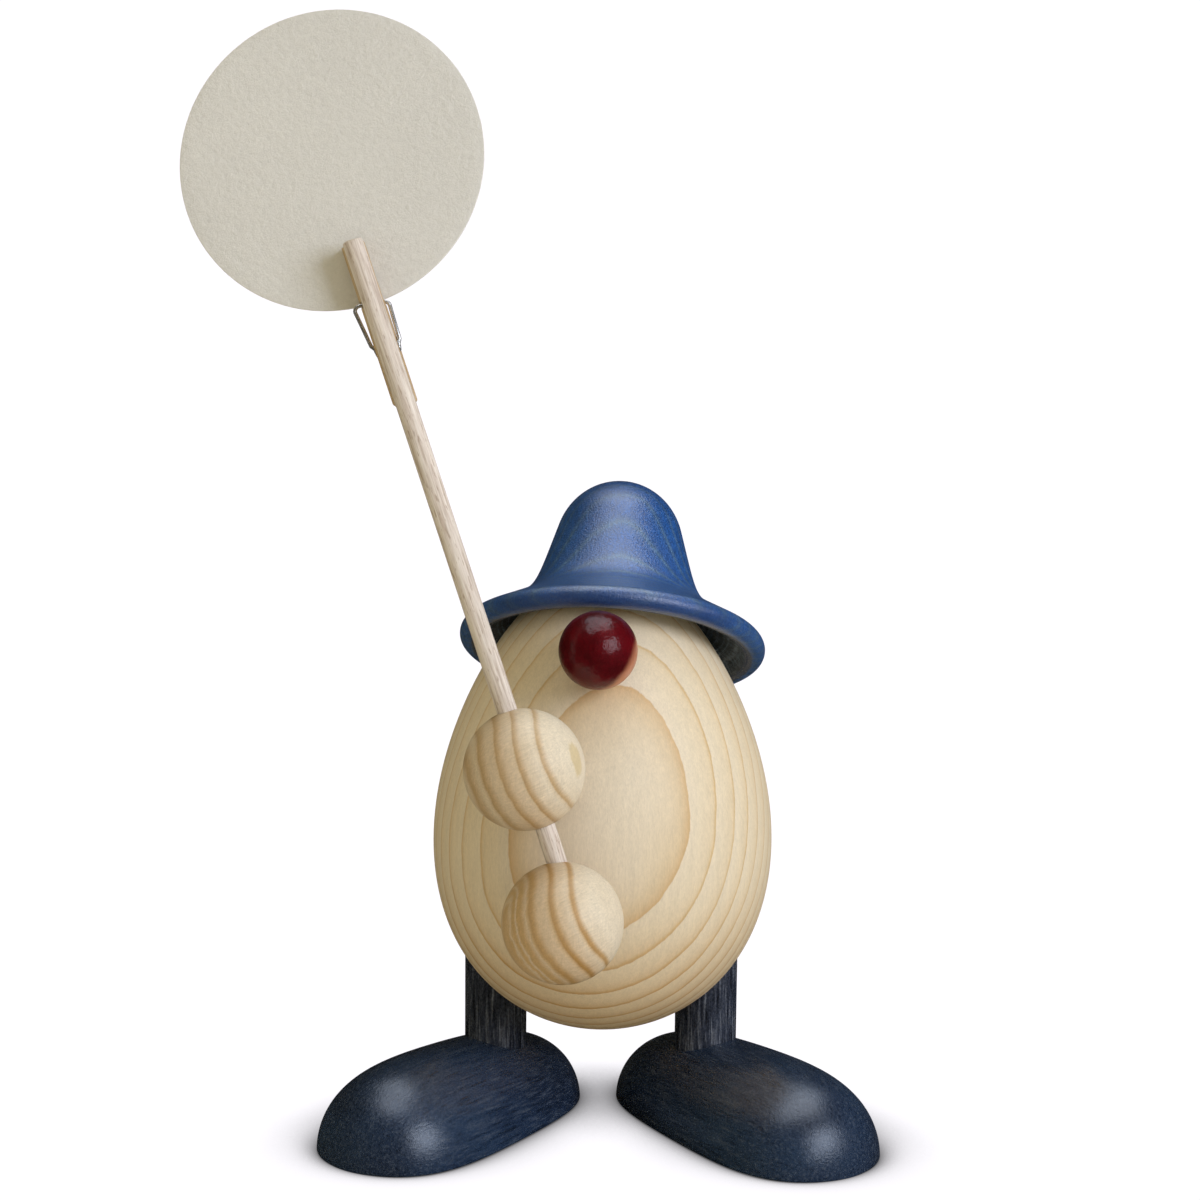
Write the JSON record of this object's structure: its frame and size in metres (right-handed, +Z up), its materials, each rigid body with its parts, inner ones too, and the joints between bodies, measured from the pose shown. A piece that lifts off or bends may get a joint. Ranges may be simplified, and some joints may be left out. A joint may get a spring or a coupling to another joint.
{
  "type": "wooden egg figure card holder",
  "caption": "Wooden egg-shaped figure in a bell hat on half-egg shoes, with ball hands holding a lift-out rod topped by a sprung peg and a round card.",
  "frame": {"origin": "middle of the footprint's bounding box on the plane the shoes stand on", "axes": "+Z up; -Y is the way the figure faces; +X to the right of someone looking at its front"},
  "size_m": [0.1084, 0.0722, 0.1752],
  "materials": {
    "pine_oiled": "pale turned pine, satin, with growth rings",
    "beech_plain": "plain beech dowel, sanded, fine straight grain",
    "birch_yellow": "plain yellowish hardwood, sanded",
    "wood_blue_stain": "turned wood stained blue, satin",
    "wood_navy_stain": "wood stained blue-black, satin",
    "wood_maroon_lacquer": "turned wood, dark red gloss lacquer",
    "spring_wire": "bright drawn wire",
    "card_ivory": "ivory, matt, fine felt texture"
  },
  "bodies": {
    "figure": {"egg_body": "pine_oiled", "hat": "wood_blue_stain", "nose": "wood_maroon_lacquer", "nose_dowel": "birch_yellow", "upper_hand": "pine_oiled", "upper_hand_dowel": "birch_yellow", "lower_hand": "pine_oiled", "lower_hand_dowel": "birch_yellow", "left_leg": "wood_navy_stain", "right_leg": "wood_navy_stain", "left_shoe": "wood_navy_stain", "right_shoe": "wood_navy_stain"},
    "staff": {"message_rod": "beech_plain", "clip_front_lever": "birch_yellow", "clip_spring": "spring_wire"},
    "clip_lever": {"clip_rear_lever": "birch_yellow"},
    "card": {"round_card": "card_ivory"}
  },
  "joints": [
    {"name": "staff_lift", "type": "slide", "parent": "figure", "child": "staff", "axis": [-0.3239, 0.1398, 0.9357], "range_m": [0, 0.04]},
    {"name": "clip_open", "type": "hinge", "parent": "staff", "child": "clip_lever", "pos_m": [-0.02283, -0.00869, 0.12504], "axis": [-0.9461, -0.0479, -0.3204], "range_deg": [0, 15], "stiffness_Nm_per_rad": 0.02, "springref_deg": -20.05, "deforming": ["clip_spring"]},
    {"name": "card_pull", "type": "slide", "parent": "staff", "child": "card", "axis": [-0.3239, 0.1398, 0.9357], "range_m": [0, 0.014]}
  ]
}
